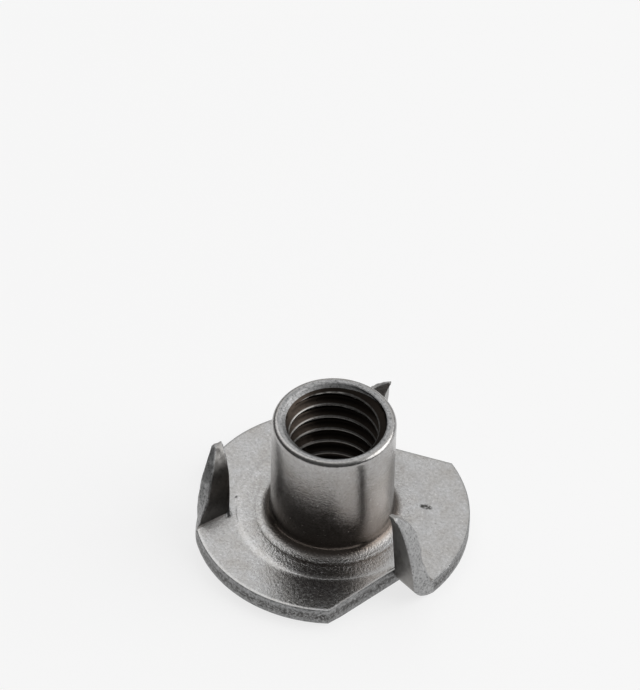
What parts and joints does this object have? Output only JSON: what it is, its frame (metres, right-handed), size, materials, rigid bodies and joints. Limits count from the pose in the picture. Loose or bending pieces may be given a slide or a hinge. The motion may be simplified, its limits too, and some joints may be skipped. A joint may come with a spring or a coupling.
{
  "type": "tee nut",
  "caption": "Pressed steel tee nut: a round flange with prongs folded up from its rim, round a drawn barrel with a tapped bore, for a lasting screw thread in wood.",
  "frame": {"origin": "on the bore axis, in the plane of the flange's underside", "axes": "+Z along the bore from the flange to the barrel's mouth; +X through the foot of the first prong"},
  "size_m": [0.0254, 0.0251, 0.0135],
  "materials": {
    "steel": "satin, slightly worn plain steel"
  },
  "bodies": {
    "root": {"tee_nut": "steel"}
  },
  "joints": []
}
